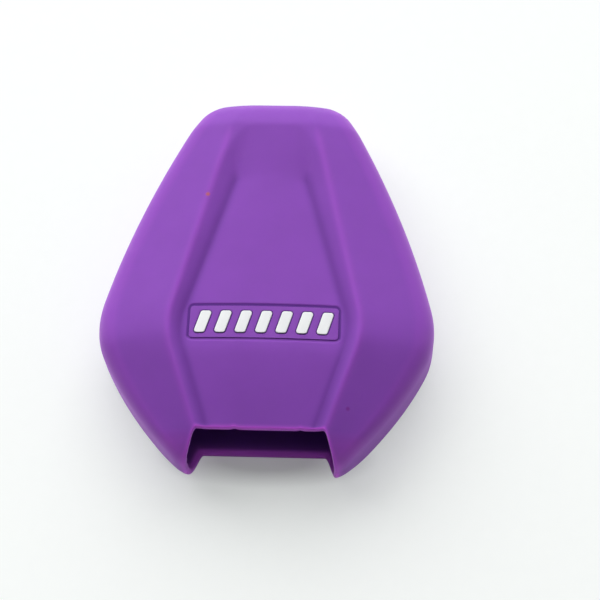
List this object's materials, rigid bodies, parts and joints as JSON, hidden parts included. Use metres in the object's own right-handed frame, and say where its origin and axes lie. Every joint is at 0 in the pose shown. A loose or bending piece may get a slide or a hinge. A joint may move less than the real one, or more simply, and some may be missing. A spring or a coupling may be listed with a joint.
{
  "type": "key fob cover",
  "caption": "Soft silicone sleeve for a remote key fob: wide-hipped hexagonal outline, ridged back with sunken panel and badge bars, notched open mouth, sprung press pads on the front.",
  "frame": {"origin": "on the surface the cover lies on, under the middle of its outline", "axes": "+X across the cover, +Y from the open mouth to the narrow closed end, +Z out of the back that carries the badge"},
  "size_m": [0.0494, 0.0599, 0.0156],
  "materials": {
    "purple_silicone": "matte moulded silicone, violet",
    "thin_silicone": "thin matte silicone web, violet, lets a little light through",
    "white_silicone": "satin white silicone inlay"
  },
  "bodies": {
    "cover": {"sleeve": "purple_silicone", "badge_plate": "purple_silicone", "badge_bars": "white_silicone", "lock_pad_web": "thin_silicone", "unlock_pad_web": "thin_silicone", "alarm_pad_web": "thin_silicone"},
    "lock_button": {"lock_pad": "purple_silicone", "lock_icon": "white_silicone"},
    "unlock_button": {"unlock_pad": "purple_silicone", "unlock_icon": "white_silicone"},
    "alarm_button": {"alarm_pad": "purple_silicone", "alarm_icon": "white_silicone"}
  },
  "joints": [
    {"name": "lock_press", "type": "slide", "parent": "cover", "child": "lock_button", "axis": [0, 0, 1], "range_m": [0, 0.0008], "stiffness_N_per_m": 800, "deforming": ["lock_pad_web"]},
    {"name": "unlock_press", "type": "slide", "parent": "cover", "child": "unlock_button", "axis": [0, 0, 1], "range_m": [0, 0.0008], "stiffness_N_per_m": 800, "deforming": ["unlock_pad_web"]},
    {"name": "alarm_press", "type": "slide", "parent": "cover", "child": "alarm_button", "axis": [0, 0, 1], "range_m": [0, 0.0008], "stiffness_N_per_m": 800, "deforming": ["alarm_pad_web"]}
  ]
}
